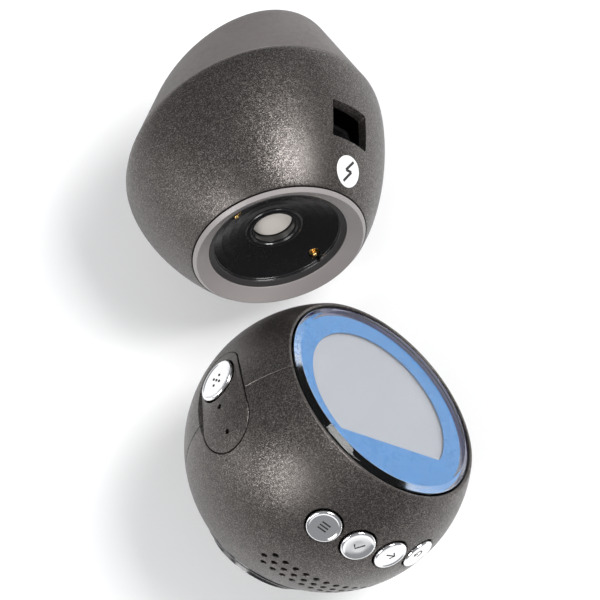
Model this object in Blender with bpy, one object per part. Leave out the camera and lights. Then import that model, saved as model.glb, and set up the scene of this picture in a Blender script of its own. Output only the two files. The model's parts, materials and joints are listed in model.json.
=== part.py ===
"""Ball-shaped handheld light meter lying beside its magnetic charging dock.

Sizes are in millimetres and angles in degrees. MM turns a size into metres.
The meter's own frame has the window along +Z, the keys toward -Y and the side key toward -X.
The dock's own frame has the cup opening along +Z and the charging port toward +X.
"""

import bmesh
import bpy
from math import asin, atan2, cos, degrees, radians, sin, sqrt, tan, tau
from mathutils import Matrix, Vector

MM = 0.001
GAP = 0.3  # clearance between touching pieces

# Meter shell, window and base
BALL_R = 32.0
BALL_WALL = 2.0
WINDOW_R = 25.7  # where the flat window plane cuts the ball
LENS_R = 24.7
LENS_T = 3.4
LENS_PROUD = 0.8
LENS_BEVEL = 1.7
MASK_T = 0.5
SCREEN_R = 18.4
SCREEN_STRAIGHT_EDGE = 11.8  # from the window's axis, toward the keys
LCD_T = 2.3
BEZEL_WALL = 3.2
BEZEL_T = 3.4
BASE_ELEVATION = -70.0
BASE_R = 14.6
BASE_PROUD = 0.45
BASE_T = 5.8

# Keys and the side panel, as directions on the ball
KEY_R = 3.8
KEY_PROUD = 0.6
KEY_TRAVEL = 0.45
KEY_ELEVATION = 10.2
KEY_PITCH = 16.6
KEY_NAMES = ("key_menu", "key_ok", "key_next", "key_back")
SIDE_KEY_R = 4.9
SIDE_AZIMUTH = 103.0
SIDE_ELEVATION = 3.0
PANEL_T = 1.1
PANEL_REAR = (105.8, 11.2)  # azimuth and angular radius of the panel's rear end
PANEL_FRONT = (83.4, 12.8)
SENSOR_AZIMUTH = 78.0
LED_AZIMUTH = 89.6
PORTHOLE_R = 0.6
KEY_STEP = -0.6  # the front keys stand too close for flanges, so each narrows to a stem
SIDE_KEY_STEP = 0.5  # the side key has a retaining flange
FLANGE_T = 1.0
SWITCH_T = 1.9
BOARD_T = 0.7

# Speaker and its grille
SPEAKER_ELEVATION = -20.6
SPEAKER_R = 10.5
SPEAKER_T = 4.5
SPEAKER_FRONT = 26.8
GRILLE_HOLE_R = 0.68
GRILLE_STEP = 5.15
GRILLE_ROW_STEP = 4.7
GRILLE_COUNTS = (12, 13, 12)

# Inside the meter
PCB_R = 22.0
PCB_T = 1.2
PCB_Z = 9.4
BATTERY_R = 7.0
BATTERY_LENGTH = 34.0
BATTERY_PLACE = (1.0, 8.0, -3.5)
STEEL_R = 7.0
STEEL_T = 3.2

# Dock shell: its wide edge leans toward the port, and its wall curves up to a level circle
EDGE_CENTRE = (0.26, -0.9, -5.4)
EDGE_LEAN = (9.12, 0.0)
EDGE_R = 31.22
EDGE_FLARE = (1.5, 45.0)  # length and angle of the wall's pull where it leaves the edge
SHELL_TOP_Z = 22.6
SHELL_TOP_R = 20.25
SHELL_TOP_PULL = (14.1, 38.7)
SHELL_LIP = (2.6, 0.7)  # how far the shell's floor for the seat lies inside and under its top
DOCK_WALL = 2.2
SHELL_STEPS = 8

# Seat and cup
SEAT_Z = 23.7
SEAT_OUTER_R = 19.1
SEAT_INNER_R = 15.9
SPIGOT_WALL = 2.1
SPIGOT_LOW_Z = 18.9
CUP_SINK = 0.8  # how far the cup's floor lies under the ball's seat
CUP_T = 3.0
MAGNET_R = 4.6
MAGNET_T = 3.0
MAGNET_SINK = 1.1
PIN_CIRCLE_R = 13.0
PIN_R = 0.55
PIN_TRAVEL = 0.7
BARREL_R = 1.2
BARREL_LENGTH = 7.9
PORT_Z = 7.6
PORT_WIDTH = 11.0
PORT_HEIGHT = 8.6
PLUG_WIDTH = 7.8
PLUG_HEIGHT = 3.2
PLUG_LENGTH = 6.5

# Dock foot
FOOT_CENTRE = (2.58, -0.12, -25.38)
FOOT_LEAN = (15.83, -10.39)
FOOT_R = 23.4
FOOT_ROUNDING = 4.4
FOOT_LIP = 1.0
ROUNDING_STEPS = 4
FOOT_PLATE_T = 2.0
FOOT_PAD_PROUD = 0.6
BALLAST_R = 13.0
BALLAST_T = 6.0
SCREW_R = 1.0
SCREW_HEAD_R = 2.0
SCREW_PITCH_R = 8.5

# How the two pieces lie on the table: azimuth from -Y toward +X, elevation from the table
DOCK_AXIS = (14.95, 23.41)
DOCK_PORT = (122.0, 34.10)
METER_WINDOW = (127.19, 39.66)
METER_FRONT = (12.24, 26.97)
METER_FROM_DOCK = (16.21, -64.37)


# Shapes -----------------------------------------------------------------------------------


def clear_scene():
    for obj in list(bpy.data.objects):
        bpy.data.objects.remove(obj)


def material(name, colour, roughness, metallic=0.0, transmission=0.0):
    found = bpy.data.materials.get(name)
    if found:
        return found
    made = bpy.data.materials.new(name)
    made.use_nodes = True
    shader = made.node_tree.nodes["Principled BSDF"]
    shader.inputs["Base Color"].default_value = (*colour, 1.0)
    shader.inputs["Roughness"].default_value = roughness
    shader.inputs["Metallic"].default_value = metallic
    shader.inputs["Transmission Weight"].default_value = transmission
    return made


def solid(name, points, faces, finish, parent, place=Matrix()):
    """One closed mesh object, from points in millimetres in the parent's frame."""
    mesh = bpy.data.meshes.new(name)
    mesh.from_pydata([Vector(p) * MM for p in points], [], faces)
    work = bmesh.new()
    work.from_mesh(mesh)
    bmesh.ops.recalc_face_normals(work, faces=work.faces)
    work.to_mesh(mesh)
    work.free()
    obj = bpy.data.objects.new(name, mesh)
    bpy.context.collection.objects.link(obj)
    obj.data.materials.append(finish)
    obj.parent = parent
    obj.matrix_local = Matrix.Translation(place.translation * MM) @ place.to_3x3().to_4x4()
    mesh.shade_smooth()
    mesh.set_sharp_from_angle(angle=radians(35))
    return obj


def ring_faces(rings, count, closed_ends):
    """Quads between consecutive rings of `count` points, with a cap on each end or a loop."""
    faces = []
    pairs = list(zip(range(rings - 1), range(1, rings)))
    if not closed_ends:
        pairs.append((rings - 1, 0))
    for low, high in pairs:
        for i in range(count):
            j = (i + 1) % count
            faces.append((low * count + i, low * count + j, high * count + j, high * count + i))
    if closed_ends:
        faces.append(tuple(reversed(range(count))))
        faces.append(tuple(range((rings - 1) * count, rings * count)))
    return faces


def circle(radius, z, count, frame=Matrix()):
    turns = [tau * i / count for i in range(count)]
    return [frame @ Vector((radius * cos(t), radius * sin(t), z)) for t in turns]


def turned(name, profile, finish, parent, place=Matrix(), count=32, tube=False):
    """A solid turned about local Z from (radius, z) points. A tube's profile is a closed loop."""
    points = [p for radius, z in profile for p in circle(radius, z, count)]
    faces = ring_faces(len(profile), count, not tube)
    return solid(name, points, faces, finish, parent, place)


def cylinder(name, radius, low, high, finish, parent, place=Matrix(), count=24):
    return turned(name, [(radius, low), (radius, high)], finish, parent, place, count)


def box(name, low, high, finish, parent, place=Matrix()):
    corners = [(x, y, z) for z in (low[2], high[2]) for x, y in
               ((low[0], low[1]), (high[0], low[1]), (high[0], high[1]), (low[0], high[1]))]
    return solid(name, corners, ring_faces(2, 4, True), finish, parent, place)


def cut(target, cutter):
    cutter.hide_render = True
    cutter.display_type = "WIRE"
    boolean = target.modifiers.new("cut_" + cutter.name, "BOOLEAN")
    boolean.operation = "DIFFERENCE"
    boolean.solver = "EXACT"
    boolean.object = cutter


def arc(radius, start, end, steps, centre_z=0.0):
    """(radius, z) points on a circle about (0, centre_z), with angles up from the equator."""
    angles = [radians(start + (end - start) * i / steps) for i in range(steps + 1)]
    return [(radius * cos(a), centre_z + radius * sin(a)) for a in angles]


# Directions and frames --------------------------------------------------------------------


def direction(azimuth, elevation):
    """Azimuth turns from -Y toward +X."""
    a, e = radians(azimuth), radians(elevation)
    return Vector((sin(a) * cos(e), -cos(a) * cos(e), sin(e)))


def aimed(axis, hint, hint_is_x):
    """A rotation with Z along axis and its X (or -Y) as near hint as it can be."""
    z = axis.normalized()
    side = (hint - hint.dot(z) * z).normalized()
    x = side if hint_is_x else (-side).cross(z)
    y = z.cross(x)
    return Matrix((x, y, z)).transposed().to_4x4()


def on_ball(azimuth, elevation, height=0.0):
    """A frame on the meter whose Z points outward. Azimuth turns from the keys to the side key."""
    z = direction(-azimuth, elevation)
    turn = aimed(z, Vector((0, 0, 1)), True)
    return Matrix.Translation(z * height) @ turn


def empty(name, matrix, parent=None):
    made = bpy.data.objects.new(name, None)
    bpy.context.collection.objects.link(made)
    made.parent = parent
    made.matrix_local = Matrix.Translation(matrix.translation * MM) @ matrix.to_3x3().to_4x4()
    return made


# Meter --------------------------------------------------------------------------------------


def window_z():
    return sqrt(BALL_R**2 - WINDOW_R**2)


def lens_bottom():
    return window_z() + LENS_PROUD - LENS_T


def shell_half(name, side, finish, meter):
    """Half of the ball: side -1 is the front with the keys, +1 the rear."""
    inner = BALL_R - BALL_WALL
    top = degrees(asin(window_z() / BALL_R))
    inner_top = degrees(asin(window_z() / inner))
    outer_arc = arc(BALL_R, -90, top, 14)
    inner_arc = arc(inner, inner_top, -90, 9)
    profile = outer_arc + inner_arc
    rings = 21
    points = []
    for i in range(rings):
        t = radians(180 * i / (rings - 1))
        for radius, z in profile:
            points.append((radius * cos(t), side * (radius * sin(t) + GAP / 2), z))
    count = len(profile)
    faces = []
    for i in range(rings - 1):
        for j in range(count):
            k = (j + 1) % count
            faces.append((i * count + j, i * count + k, (i + 1) * count + k, (i + 1) * count + j))
    faces.append(tuple(range(count)))
    faces.append(tuple(range((rings - 1) * count, rings * count)))
    shell = solid(name, points, faces, finish, meter)
    work = bmesh.new()
    work.from_mesh(shell.data)
    bmesh.ops.remove_doubles(work, verts=work.verts, dist=1e-6)
    bmesh.ops.dissolve_degenerate(work, edges=work.edges, dist=1e-6)
    bmesh.ops.recalc_face_normals(work, faces=work.faces)
    work.to_mesh(shell.data)
    work.free()
    return shell


def panel_outline(extra, steps=9):
    """Unit directions round the teardrop side panel, `extra` degrees outside its edge."""
    span = PANEL_REAR[0] - PANEL_FRONT[0]
    spread = degrees(asin((PANEL_FRONT[1] - PANEL_REAR[1]) / span))
    ends = ((0.0, PANEL_FRONT[1], 90 - spread, 270 + spread),
            (span, PANEL_REAR[1], -90 + spread, 90 - spread))
    outline = []
    for along, radius, start, end in ends:
        for i in range(steps + 1):
            a = radians(start + (end - start) * i / steps)
            across = (radius + extra) * sin(a)
            outline.append((SIDE_ELEVATION + across, PANEL_FRONT[0] + along + (radius + extra) * cos(a)))
    return outline


def panel_plate(name, extra, low, high, finish, meter, rings=4):
    """A plate that follows the ball between two radii, inside the panel's outline."""
    outline = panel_outline(extra)
    count = len(outline)
    middle = ((SIDE_ELEVATION), (PANEL_FRONT[0] + PANEL_REAR[0]) / 2)
    loops = []
    for radius, shares in ((low, [(i + 1) / rings for i in range(rings)]),
                           (high, [(rings - i) / rings for i in range(rings)])):
        for share in shares:
            loop = []
            for elevation, azimuth in outline:
                e = middle[0] + (elevation - middle[0]) * share
                a = middle[1] + (azimuth - middle[1]) * share
                loop.append(direction(-a, e) * radius)
            loops.append(loop)
    points = [p for loop in loops for p in loop]
    return solid(name, points, ring_faces(len(loops), count, True), finish, meter)


def grille_cutters(meter, finish):
    for row, holes in enumerate(GRILLE_COUNTS):
        elevation = SPEAKER_ELEVATION + (1 - row) * GRILLE_ROW_STEP
        for i in range(holes):
            azimuth = (i - (holes - 1) / 2) * GRILLE_STEP
            yield cylinder(f"grille_{row}_{i}", GRILLE_HOLE_R, BALL_R - 2 * BALL_WALL, BALL_R + 2,
                           finish, meter, on_ball(azimuth, elevation), count=6)


def joined(name, pieces):
    """One mesh object out of several that don't meet, so that one Boolean cuts them all."""
    first = pieces[0]
    work = bmesh.new()
    for piece in pieces:
        start = len(work.verts)
        work.from_mesh(piece.data)
        work.verts.ensure_lookup_table()
        bmesh.ops.transform(work, matrix=piece.matrix_basis, verts=work.verts[start:])
    mesh = bpy.data.meshes.new(name)
    work.to_mesh(mesh)
    work.free()
    made = bpy.data.objects.new(name, mesh)
    bpy.context.collection.objects.link(made)
    made.parent = first.parent
    for piece in pieces:
        bpy.data.objects.remove(piece)
    return made


def key(name, radius, step, azimuth, elevation, parent, finish):
    """A domed key on a stem or flange, standing in a frame on its own travel axis."""
    frame = empty(name + "_axis", on_ball(azimuth, elevation, BALL_R), parent)
    flange_r = radius + step
    flange_top = flange_height(radius, step) - BALL_R
    top = KEY_PROUD - (BALL_R - sqrt(BALL_R**2 - radius**2))
    rim = 0.5
    profile = [(flange_r, flange_top - FLANGE_T), (flange_r, flange_top), (radius, flange_top),
               (radius, top - rim), (radius - 0.15, top - 0.15), (radius - rim, top),
               (radius - 1.0, top - 0.12), (radius * 0.5, top - 0.1)]
    return turned(name, profile, finish, frame, count=24)


def flange_height(radius, step):
    """Top of a key's flange or stem, as a distance from the ball's centre."""
    return sqrt((BALL_R - BALL_WALL) ** 2 - (radius + max(step, 0)) ** 2) - GAP


def switch_height(radius, step):
    """Top of the switch that stops a key's travel."""
    return flange_height(radius, step) - FLANGE_T - KEY_TRAVEL - GAP


def switch(name, radius, step, azimuth, elevation, parent, finish):
    top = switch_height(radius, step)
    half = 2.4
    return box(name, (-half, -half, top - SWITCH_T), (half, half, top), finish, parent,
               on_ball(azimuth, elevation))


def board_strip(name, azimuths, elevations, top, finish, parent, steps):
    """A flexible board that follows the ball under a row of switches."""
    loops = []
    for i in range(steps + 1):
        a = azimuths[0] + (azimuths[1] - azimuths[0]) * i / steps
        low, high = elevations
        corners = ((low, top - BOARD_T), (high, top - BOARD_T), (high, top), (low, top))
        loops.append([direction(-a, e) * radius for e, radius in corners])
    points = [p for loop in loops for p in loop]
    return solid(name, points, ring_faces(len(loops), 4, True), finish, parent)


def build_meter(meter):
    paint = material("sparkle_paint", (0.075, 0.066, 0.06), 0.42, 0.75)
    black = material("black_plastic", (0.012, 0.012, 0.013), 0.3)
    chrome = material("chrome", (0.82, 0.82, 0.83), 0.08, 1.0)
    glass = material("clear_acrylic", (0.9, 0.92, 0.97), 0.03, 0.0, 1.0)
    blue = material("printed_blue", (0.07, 0.33, 0.75), 0.35)
    grey = material("display_grey", (0.5, 0.5, 0.52), 0.4)
    board = material("circuit_board", (0.02, 0.16, 0.07), 0.5)
    cell = material("cell_wrap", (0.05, 0.12, 0.3), 0.4)
    steel = material("steel", (0.55, 0.55, 0.56), 0.3, 1.0)
    gold = material("gold_plate", (0.9, 0.62, 0.25), 0.2, 1.0)
    cone = material("speaker_cone", (0.03, 0.03, 0.03), 0.7)

    front = shell_half("front_shell", -1, paint, meter)
    rear = shell_half("rear_shell", 1, paint, meter)
    base_frame = on_ball(0.0, BASE_ELEVATION)
    side_frame = on_ball(SIDE_AZIMUTH, SIDE_ELEVATION)
    led_frame = on_ball(LED_AZIMUTH, SIDE_ELEVATION)
    sensor_frame = on_ball(SENSOR_AZIMUTH, SIDE_ELEVATION)
    inside, outside = BALL_R - 3 * BALL_WALL, BALL_R + 4
    pipe_r = PORTHOLE_R + 0.35

    def bore(name, radius, frame, low=inside, count=24):
        return cylinder(name, radius, low, outside, black, meter, frame, count)

    window_cut = bore("window_cut", LENS_R + GAP, Matrix(), low=inside / 3, count=48)
    base_cut = bore("base_cut", BASE_R + GAP, base_frame, low=inside / 2, count=32)
    side_cut = bore("side_cut", SIDE_KEY_R + GAP, side_frame)
    led_cut = bore("led_cut", pipe_r + GAP, led_frame, count=12)
    sensor_cut = bore("sensor_cut", pipe_r + GAP, sensor_frame, count=12)
    spare = degrees(atan2(GAP, BALL_R))
    panel_cut = panel_plate("panel_cut", spare, BALL_R - PANEL_T - GAP, outside, black, meter)
    for shell in (front, rear):
        for cutter in (window_cut, base_cut, panel_cut, side_cut, led_cut, sensor_cut):
            cut(shell, cutter)
    key_holes = []
    for i, name in enumerate(KEY_NAMES):
        azimuth = ((len(KEY_NAMES) - 1) / 2 - i) * KEY_PITCH
        hole = bore(name + "_hole", KEY_R + GAP, on_ball(azimuth, KEY_ELEVATION), count=20)
        key_holes.append(hole)
        key(name, KEY_R, KEY_STEP, azimuth, KEY_ELEVATION, meter, chrome)
        switch(name + "_switch", KEY_R, KEY_STEP, azimuth, KEY_ELEVATION, meter, steel)
    cut(front, joined("front_holes", key_holes + list(grille_cutters(meter, black))))

    key("side_key", SIDE_KEY_R, SIDE_KEY_STEP, SIDE_AZIMUTH, SIDE_ELEVATION, meter, chrome)
    switch("side_key_switch", SIDE_KEY_R, SIDE_KEY_STEP, SIDE_AZIMUTH, SIDE_ELEVATION, meter, steel)
    panel = panel_plate("side_panel", 0.0, BALL_R - PANEL_T, BALL_R, paint, meter)
    porthole = bore("led_porthole", PORTHOLE_R, led_frame, count=12)
    cut(panel, side_cut)
    cut(panel, porthole)
    cut(panel, bore("sensor_porthole", PORTHOLE_R, sensor_frame, count=12))
    pipe_top = BALL_R - PANEL_T - GAP
    cylinder("status_led", pipe_r, pipe_top - 4.0, pipe_top, glass, meter, led_frame, 12)
    cylinder("light_sensor", pipe_r, pipe_top - 4.0, pipe_top, glass, meter, sensor_frame, 12)
    under = SWITCH_T + GAP
    front_strip = switch_height(KEY_R, KEY_STEP) - under
    side_strip = switch_height(SIDE_KEY_R, SIDE_KEY_STEP) - under
    reach = KEY_PITCH * (len(KEY_NAMES) - 1) / 2 + 6
    board_strip("key_board", (-reach, reach), (KEY_ELEVATION - 5, KEY_ELEVATION + 5),
                front_strip, board, meter, 12)
    board_strip("side_board", (SENSOR_AZIMUTH - 4, SIDE_AZIMUTH + 6),
                (SIDE_ELEVATION - 5, SIDE_ELEVATION + 5), side_strip, board, meter, 8)

    low = lens_bottom()
    top = low + LENS_T
    turned("window_lens", [(LENS_R, low), (LENS_R, top - 1.0), (LENS_R - 0.35, top - 0.45),
                           (LENS_R - LENS_BEVEL, top)], glass, meter, count=48)
    mask_top = low - GAP
    mask = turned("display_mask", [(LENS_R, mask_top - MASK_T), (LENS_R, mask_top)], blue, meter,
                  count=48)
    opening = turned("mask_cut", [(SCREEN_R, 0), (SCREEN_R, outside)], black, meter, count=48)
    beyond = BALL_R + 1
    trim = box("screen_edge_cut", (-beyond, -beyond, -1), (beyond, -SCREEN_STRAIGHT_EDGE, beyond + 9),
               black, meter)
    cut(opening, trim)
    cut(mask, opening)
    lcd_top = mask_top - MASK_T - GAP
    cylinder("display_module", LENS_R - BEZEL_WALL - GAP, lcd_top - LCD_T, lcd_top, grey, meter,
             count=48)
    bezel = [(LENS_R - BEZEL_WALL, lcd_top), (LENS_R - BEZEL_WALL, lcd_top - BEZEL_T),
             (LENS_R, lcd_top - BEZEL_T), (LENS_R, lcd_top)]
    turned("window_bezel", bezel, black, meter, count=48, tube=True)
    cylinder("main_board", PCB_R, PCB_Z - PCB_T, PCB_Z, board, meter, count=40)
    along_x = Matrix.Translation(BATTERY_PLACE) @ Matrix.Rotation(radians(90), 4, "Y")
    cylinder("battery_cell", BATTERY_R, -BATTERY_LENGTH / 2, BATTERY_LENGTH / 2, cell, meter,
             along_x, 24)

    speaker = on_ball(0.0, SPEAKER_ELEVATION)
    rim = 1.2
    back = SPEAKER_FRONT - SPEAKER_T
    frame_profile = [(SPEAKER_R, back), (SPEAKER_R, SPEAKER_FRONT), (SPEAKER_R - rim, SPEAKER_FRONT),
                     (SPEAKER_R - rim, back + rim), (2 * rim, back + rim), (2 * rim, back)]
    turned("speaker_frame", frame_profile, black, meter, speaker, 32, tube=True)
    cone_r = SPEAKER_R - rim - GAP
    floor = back + rim + GAP
    cone_profile = [(2 * rim, floor), (2 * rim + 1, floor), (cone_r, SPEAKER_FRONT - 1.2),
                    (cone_r, SPEAKER_FRONT - 0.4), (2 * rim + 1, floor + 0.9)]
    turned("speaker_cone", cone_profile, cone, meter, speaker, 32)

    dome = BALL_R + BASE_PROUD
    edge = degrees(atan2(sqrt(dome**2 - BASE_R**2), BASE_R))
    bottom = dome - BASE_T
    cap_profile = [(BASE_R, bottom)] + arc(dome, edge, 88, 5)
    cap = turned("base_cap", cap_profile, black, meter, base_frame, 40)
    pocket_top = bottom + STEEL_T + GAP
    cut(cap, cylinder("steel_pocket", STEEL_R + GAP, bottom - 5, pocket_top, black, meter,
                      base_frame))
    cylinder("steel_plate", STEEL_R, bottom, bottom + STEEL_T, steel, meter, base_frame)
    for i, side in enumerate((-1, 1)):
        place = base_frame @ Matrix.Translation((0, side * PIN_CIRCLE_R, 0))
        pad_top = sqrt(dome**2 - (PIN_CIRCLE_R + 0.7) ** 2)
        cut(cap, cylinder(f"pad_hole_{i + 1}", 1.0, bottom - 1, outside, black, meter, place, 12))
        cylinder(f"contact_pad_{i + 1}", 1.0 - GAP, bottom, pad_top, gold, meter, place, 12)


# Dock ---------------------------------------------------------------------------------------


def leaning(centre, lean):
    """A frame whose Z leans toward X and toward Y by the two angles."""
    z = Vector((tan(radians(lean[0])), tan(radians(lean[1])), 1)).normalized()
    x = (Vector((1, 0, 0)) - z.x * z).normalized()
    return Matrix.Translation(centre) @ Matrix((x, z.cross(x), z)).transposed().to_4x4()


def shell_point(turn, share, inset=0.0):
    """A point of the dock shell's wall, from its wide edge (share 0) up to its top (share 1)."""
    edge = leaning(EDGE_CENTRE, EDGE_LEAN)
    up, level = Vector((0, 0, 1)), Vector((cos(turn), sin(turn), 0))
    outward = edge.to_3x3() @ level
    start = edge @ (level * EDGE_R)
    flare = radians(EDGE_FLARE[1])
    pull = radians(SHELL_TOP_PULL[1])
    second = start + EDGE_FLARE[0] * (cos(flare) * edge.col[2].xyz + sin(flare) * outward)
    end = level * SHELL_TOP_R + up * SHELL_TOP_Z
    third = end - SHELL_TOP_PULL[0] * (cos(pull) * up - sin(pull) * level)
    left = 1 - share
    point = (left**3 * start + 3 * left**2 * share * second + 3 * left * share**2 * third
             + share**3 * end)
    return point - inset * (left * outward + share * level)


def shell_radius(z):
    """The shell's outer radius on the port's side at this height, found by halving."""
    low, high = 0.0, 1.0
    for _ in range(30):
        middle = (low + high) / 2
        low, high = (middle, high) if shell_point(0, middle).z < z else (low, middle)
    return shell_point(0, low).x


def seat_centre_z():
    return SEAT_Z + sqrt((BALL_R + GAP) ** 2 - SEAT_OUTER_R**2)


def seat_height(radius, sink=0.0):
    """Height of the ball's seat, or of a surface `sink` under it, at this radius."""
    return seat_centre_z() - sqrt((BALL_R + GAP + sink) ** 2 - radius**2)


def foot_rings(count):
    """The foot's outer surface, from the circle under the shell's edge down to its sole."""
    top = circle(EDGE_R, -GAP, count, leaning(EDGE_CENTRE, EDGE_LEAN))
    foot = leaning(FOOT_CENTRE, FOOT_LEAN)
    corner = circle(FOOT_R, 0, count, foot)
    sole = circle(FOOT_R - FOOT_ROUNDING, 0, count, foot)
    start = [c + (t - c).normalized() * FOOT_ROUNDING for t, c in zip(top, corner)]
    rings = [top]
    for step in range(ROUNDING_STEPS + 1):
        t = step / ROUNDING_STEPS
        rings.append([(1 - t) ** 2 * a + 2 * t * (1 - t) * b + t * t * c
                      for a, b, c in zip(start, corner, sole)])
    return rings


def build_dock(dock):
    paint = material("sparkle_paint", (0.075, 0.066, 0.06), 0.42, 0.75)
    matte = material("matte_foot", (0.13, 0.115, 0.11), 0.6)
    light = material("seat_grey", (0.38, 0.34, 0.33), 0.4)
    black = material("black_plastic", (0.012, 0.012, 0.013), 0.3)
    nickel = material("nickel", (0.68, 0.64, 0.58), 0.25, 1.0)
    gold = material("gold_plate", (0.9, 0.62, 0.25), 0.2, 1.0)
    steel = material("steel", (0.55, 0.55, 0.56), 0.3, 1.0)
    board = material("circuit_board", (0.02, 0.16, 0.07), 0.5)
    rubber = material("rubber", (0.03, 0.03, 0.03), 0.8)

    count = 40
    turns = [tau * i / count for i in range(count)]
    shares = [i / SHELL_STEPS for i in range(SHELL_STEPS + 1)]
    spigot_r = SEAT_INNER_R + SPIGOT_WALL
    floor_z = SHELL_TOP_Z - SHELL_LIP[1]
    rings = [[shell_point(t, share) for t in turns] for share in shares]
    rings += [circle(spigot_r + GAP, z, count) for z in (floor_z, SHELL_TOP_Z - SHELL_LIP[0])]
    rings += [[shell_point(t, share, DOCK_WALL) for t in turns] for share in reversed(shares[:-2])]
    shell = solid("dock_shell", [p for ring in rings for p in ring],
                  ring_faces(len(rings), count, False), paint, dock)
    half_w, half_h = PORT_WIDTH / 2, PORT_HEIGHT / 2
    cut(shell, box("port_window_cut", (15, -half_w, PORT_Z - half_h), (40, half_w, PORT_Z + half_h),
                   black, dock))

    ring_base = SHELL_TOP_Z + GAP
    seat = [(SHELL_TOP_R - GAP, ring_base), (SEAT_OUTER_R, SEAT_Z),
            (SEAT_INNER_R, seat_height(SEAT_INNER_R)), (SEAT_INNER_R, SPIGOT_LOW_Z),
            (spigot_r, SPIGOT_LOW_Z), (spigot_r, floor_z + GAP)]
    turned("seat_ring", seat, light, dock, count=40, tube=True)

    cup_r = SEAT_INNER_R - GAP
    bore_r = MAGNET_R + GAP
    radii = [cup_r - (cup_r - bore_r) * i / 5 for i in range(6)]
    cup_low = seat_height(bore_r, CUP_SINK) - CUP_T
    cup = [(bore_r, cup_low), (cup_r, cup_low)] + [(r, seat_height(r, CUP_SINK)) for r in radii]
    cup_obj = turned("cup_insert", cup, black, dock, count=36, tube=True)
    magnet_top = seat_height(0, CUP_SINK) - MAGNET_SINK
    cylinder("dock_magnet", MAGNET_R, magnet_top - MAGNET_T, magnet_top, nickel, dock, count=32)
    yoke_top = min(magnet_top - MAGNET_T, cup_low) - GAP
    cylinder("magnet_yoke", MAGNET_R + 2.4, yoke_top - 1.0, yoke_top, steel, dock, count=32)

    tip = seat_height(PIN_CIRCLE_R) - 0.1
    barrel_top = seat_height(PIN_CIRCLE_R, CUP_SINK) - 0.4
    barrel_low = barrel_top - BARREL_LENGTH
    bore = PIN_R + GAP
    for i, side in enumerate((-1, 1)):
        place = Matrix.Translation((0, side * PIN_CIRCLE_R, 0)) @ Matrix.Rotation(radians(5), 4, "Z")
        cut(cup_obj, cylinder(f"pin_hole_{i + 1}", BARREL_R + GAP, 0, 40, black, dock, place, 16))
        barrel = cylinder(f"pogo_barrel_{i + 1}", BARREL_R, barrel_low, barrel_top, gold, dock,
                          place, 16)
        cut(barrel, cylinder(f"barrel_bore_{i + 1}", bore, barrel_low + 1.2, 40, black, dock, place,
                             16))
        axis = empty(f"pogo_axis_{i + 1}", place @ Matrix.Translation((0, 0, tip)), dock)
        low = barrel_low + 1.2 + GAP + PIN_TRAVEL - tip
        turned(f"pogo_plunger_{i + 1}", [(PIN_R, low), (PIN_R, -PIN_R), (PIN_R * 0.75, -0.15),
                                         (PIN_R * 0.35, 0)], gold, axis, count=12)
    board_top = min(barrel_low, yoke_top - 1.0) - GAP
    cylinder("dock_board", SEAT_INNER_R - 1.5, board_top - 1.4, board_top, board, dock, count=32)

    wall_r = shell_radius(PORT_Z + half_h + 1) - DOCK_WALL - GAP
    frame_x = sqrt(wall_r**2 - (half_w + 1) ** 2)
    plug_y, plug_z = PLUG_WIDTH / 2, PLUG_HEIGHT / 2
    depth = 5.2
    port = box("port_frame", (frame_x - depth, -half_w - 1, PORT_Z - half_h - 1),
               (frame_x, half_w + 1, PORT_Z + half_h + 1), black, dock)
    cut(port, box("port_pocket_cut", (frame_x - depth + 1.6, -half_w + 0.4, PORT_Z - half_h + 0.4),
                  (40, half_w - 0.4, PORT_Z + half_h - 0.4), black, dock))
    cut(port, box("port_hole_cut", (5, -plug_y - GAP, PORT_Z - plug_z - GAP),
                  (40, plug_y + GAP, PORT_Z + plug_z + GAP), black, dock))
    mouth_x = frame_x - depth + 2.6
    sheet = 0.35
    socket = box("usb_receptacle", (mouth_x - PLUG_LENGTH, -plug_y, PORT_Z - plug_z),
                 (mouth_x, plug_y, PORT_Z + plug_z), steel, dock)
    cut(socket, box("socket_bore", (mouth_x - PLUG_LENGTH + 0.6, -plug_y + sheet, PORT_Z - plug_z + sheet),
                    (40, plug_y - sheet, PORT_Z + plug_z - sheet), black, dock))
    box("usb_tongue", (mouth_x - PLUG_LENGTH + 0.6 + GAP, -plug_y + 1.2, PORT_Z - 0.35),
        (mouth_x - 0.8, plug_y - 1.2, PORT_Z + 0.35), black, dock)
    shelf = PORT_Z - plug_z - GAP
    box("port_board", (mouth_x - PLUG_LENGTH - 2, -half_w, shelf - 1.2),
        (frame_x - depth - GAP, half_w, shelf), board, dock)

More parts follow.
